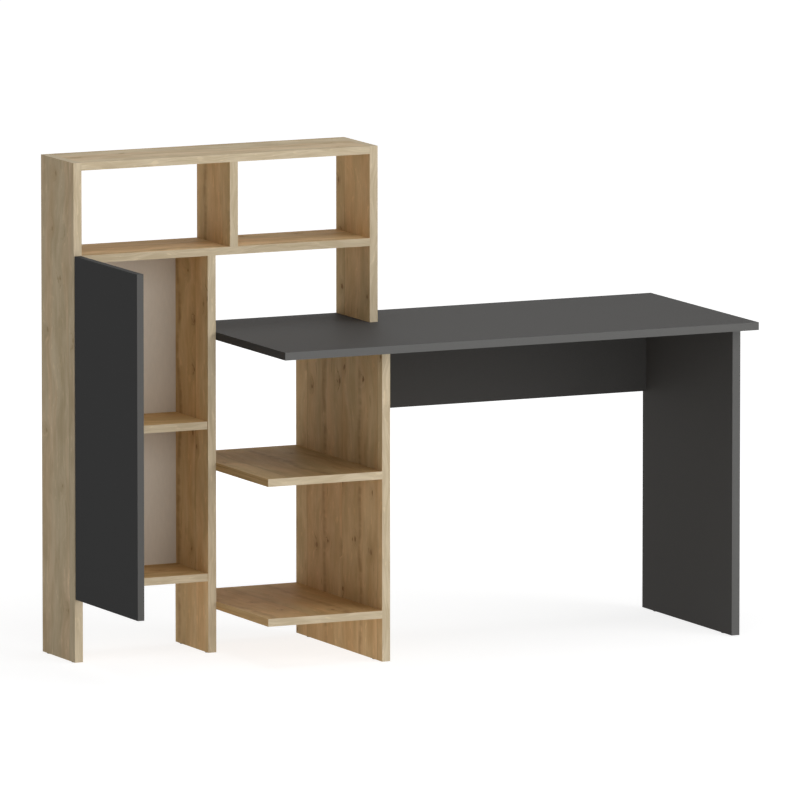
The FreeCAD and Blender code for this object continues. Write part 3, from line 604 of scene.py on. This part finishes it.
def anthracite(name, face, edge):
    """Matt dark decor with its own colour on the edge bands and a fine stipple."""
    made, tree, shader = material(name)
    base = mix_colour(tree, band_mask(tree, FLAT_BANDS), rgba(face), rgba(edge))
    grained(tree, shader, base, LOOKS["anthracite"])
    return made


def fitting(name, base):
    """Finish of a small part or of the thin back."""
    made, tree, shader = material(name)
    grained(tree, shader, rgba(base), LOOKS[name])
    return made


def dress(names, finish):
    """Give CAD nodes one material."""
    for name in names:
        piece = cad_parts[name]
        piece.data.materials.clear()
        piece.data.materials.append(finish)


class DESK_OT_oak_boards(bpy.types.Operator):
    """Put the oak decor on the light boards, with the grain in each board's own direction"""

    bl_idname = "desk.oak_boards"
    bl_label = "Oak boards"

    def execute(self, context):
        finish = context.scene.desk_finish
        outer = (finish.oak_outer, finish.pale_knot, finish.oak_edge)
        # The inner and shelf copies of the oak carry painted warm shade.
        inner = (finish.oak_inner, finish.oak_knot, finish.oak_edge)
        shelf = (finish.oak_shelf, finish.oak_knot, finish.oak_edge)
        dress(OUTER_UPRIGHT, oak("oak_outer_upright", UPRIGHT_GRAIN, *outer))
        dress(OUTER_LENGTHWISE, oak("oak_outer_lengthwise", LENGTHWISE_GRAIN, *outer))
        dress(INNER_UPRIGHT, oak("oak_inner_upright", UPRIGHT_GRAIN, *inner))
        dress(INNER_LENGTHWISE, oak("oak_inner_lengthwise", LENGTHWISE_GRAIN, *inner))
        dress(CABINET_SHELVES, oak("oak_cabinet_shelf", LENGTHWISE_GRAIN, *shelf))
        dress(OPEN_SHELVES, oak("oak_open_shelf", CROSS_GRAIN, *shelf))
        return {"FINISHED"}


class DESK_OT_dark_boards(bpy.types.Operator):
    """Put the anthracite decor on the desktop, leg and modesty panel, and a darker copy with painted shade
    on the door
    """

    bl_idname = "desk.dark_boards"
    bl_label = "Dark boards"

    def execute(self, context):
        finish = context.scene.desk_finish
        dress(DARK_DESK, anthracite("anthracite_desk", finish.dark_face, finish.dark_edge))
        dress(("modesty_panel",), anthracite("anthracite_modesty", finish.dark_face, finish.dark_face))
        # The door gets a darker copy of the anthracite, with painted shade.
        dress(("cabinet_door",), anthracite("anthracite_door_painted_shade", finish.door_face, finish.door_edge))
        return {"FINISHED"}


class DESK_OT_cabinet_back(bpy.types.Operator):
    """Colour the thin back of the cabinet"""

    bl_idname = "desk.cabinet_back"
    bl_label = "Cabinet back"

    def execute(self, context):
        dress(("cabinet_back",), fitting("back_board", context.scene.desk_finish.back_board))
        return {"FINISHED"}


class DESK_OT_fittings(bpy.types.Operator):
    """Finish the hinges, nails, screws, cams, pins, dowels, caps, glides and bumpers"""

    bl_idname = "desk.fittings"
    bl_label = "Fittings"

    def execute(self, context):
        finish = context.scene.desk_finish
        dress(STEEL_FITTINGS, fitting("nickel_steel", finish.steel))
        dress(ZINC_FITTINGS, fitting("zinc_casting", finish.zinc))
        dress(("dowels",), fitting("beech", finish.beech))
        dress(("oak_cam_caps",), fitting("oak_plastic", finish.oak_plastic))
        dress(("dark_cam_caps", "floor_glides"), fitting("dark_plastic", finish.dark_plastic))
        dress(("door_bumpers",), fitting("soft_bumper", finish.bumper))
        return {"FINISHED"}


def seen_rays(tree):
    """One for rays that show the surroundings rather than light the desk."""
    rays = node(tree, "ShaderNodeLightPath").outputs
    seen = math_node(tree, "MAXIMUM", rays["Is Camera Ray"], rays["Is Glossy Ray"])
    return math_node(tree, "MAXIMUM", seen, rays["Is Transmission Ray"])


def floor_material():
    """Floor that glows white to the camera and keeps the desk's shadow."""
    made, tree, shader = material("floor")
    shader.inputs["Base Color"].default_value = FLOOR_COLOUR
    shader.inputs["Roughness"].default_value = FLOOR_ROUGHNESS
    shader.inputs["Specular IOR Level"].default_value = 0.0
    shader.inputs["Emission Color"].default_value = WHITE
    place = node(tree, "ShaderNodeTexCoord").outputs["Object"]
    glow = steps(tree, length(tree, place), FLOOR_GLOW)
    shown = math_node(tree, "MAXIMUM", seen_rays(tree), FLOOR_BOUNCE)
    tree.links.new(times(tree, shown, glow), shader.inputs["Emission Strength"])
    return made


def make_floor(scene, side):
    """Square floor round the desk, which isn't part of it."""
    mesh = bpy.data.meshes.new("floor")
    shape = bmesh.new()
    bmesh.ops.create_grid(shape, x_segments=1, y_segments=1, size=side / 2)
    shape.to_mesh(mesh)
    shape.free()
    floor = bpy.data.objects.new("floor", mesh)
    mesh.materials.append(floor_material())
    scene.collection.objects.link(floor)


def make_lamp(scene, name, place, power):
    """Soft square lamp that looks at the desk."""
    data = bpy.data.lights.new(name, "AREA")
    data.size = LAMP_SIZE
    data.energy = power
    made = bpy.data.objects.new(name, data)
    made.location = place
    made.rotation_euler = (Vector(LAMP_AIM) - Vector(place)).to_track_quat("-Z", "Y").to_euler()
    scene.collection.objects.link(made)


def make_world(scene):
    """World that looks white and lights the desk with a soft fill."""
    world = bpy.data.worlds.new("studio")
    world.use_nodes = True
    tree = world.node_tree
    background = tree.nodes["Background"]
    background.inputs["Color"].default_value = WHITE
    shown = math_node(tree, "MAXIMUM", seen_rays(tree), WORLD_FILL)
    tree.links.new(shown, background.inputs["Strength"])
    scene.world = world


def make_camera(scene, stage):
    """Far camera with a long lens, turned and raised round its aim."""
    data = bpy.data.cameras.new("camera")
    data.lens = stage.lens
    data.sensor_width = SENSOR_WIDTH
    data.clip_end = stage.distance * CLIP_SHARE
    level = math.cos(stage.elevation)
    back = Vector(
        (
            math.sin(stage.azimuth) * level,
            -math.cos(stage.azimuth) * level,
            math.sin(stage.elevation),
        )
    )
    camera = bpy.data.objects.new("camera", data)
    camera.location = Vector(stage.aim) + back * stage.distance
    camera.rotation_euler = (-back).to_track_quat("-Z", "Y").to_euler()
    scene.collection.objects.link(camera)
    scene.camera = camera


class DESK_OT_stage(bpy.types.Operator):
    """Make the floor, the soft lamps, the white world and the camera"""

    bl_idname = "desk.stage"
    bl_label = "Stage"

    def execute(self, context):
        scene = context.scene
        make_floor(scene, scene.desk_stage.floor_size)
        for name, place, power in LAMPS:
            make_lamp(scene, name, place, power)
        make_world(scene)
        make_camera(scene, scene.desk_stage)
        scene.view_settings.view_transform = "Standard"
        return {"FINISHED"}


class DESK_PT_panel(bpy.types.Panel):
    """Lists the desk's steps, colours and stage settings"""

    bl_label = "Desk"
    bl_idname = "DESK_PT_panel"
    bl_space_type = "VIEW_3D"
    bl_region_type = "UI"
    bl_category = "Desk"

    def draw(self, context):
        for step in STEPS:
            self.layout.operator(step.bl_idname)
        for settings in (context.scene.desk_finish, context.scene.desk_stage):
            column = self.layout.column()
            for key in settings.__annotations__:
                column.prop(settings, key)


STEPS = (
    DESK_OT_oak_boards,
    DESK_OT_dark_boards,
    DESK_OT_cabinet_back,
    DESK_OT_fittings,
    DESK_OT_stage,
)
CLASSES = (DeskFinish, DeskStage, *STEPS, DESK_PT_panel)


def register():
    for each in CLASSES:
        bpy.utils.register_class(each)
    bpy.types.Scene.desk_finish = bpy.props.PointerProperty(type=DeskFinish)
    bpy.types.Scene.desk_stage = bpy.props.PointerProperty(type=DeskStage)


def unregister():
    del bpy.types.Scene.desk_stage
    del bpy.types.Scene.desk_finish
    for each in reversed(CLASSES):
        bpy.utils.unregister_class(each)


def main():
    register()
    bpy.ops.desk.oak_boards()
    bpy.ops.desk.dark_boards()
    bpy.ops.desk.cabinet_back()
    bpy.ops.desk.fittings()
    bpy.ops.desk.stage()


if __name__ == "__main__":
    main()
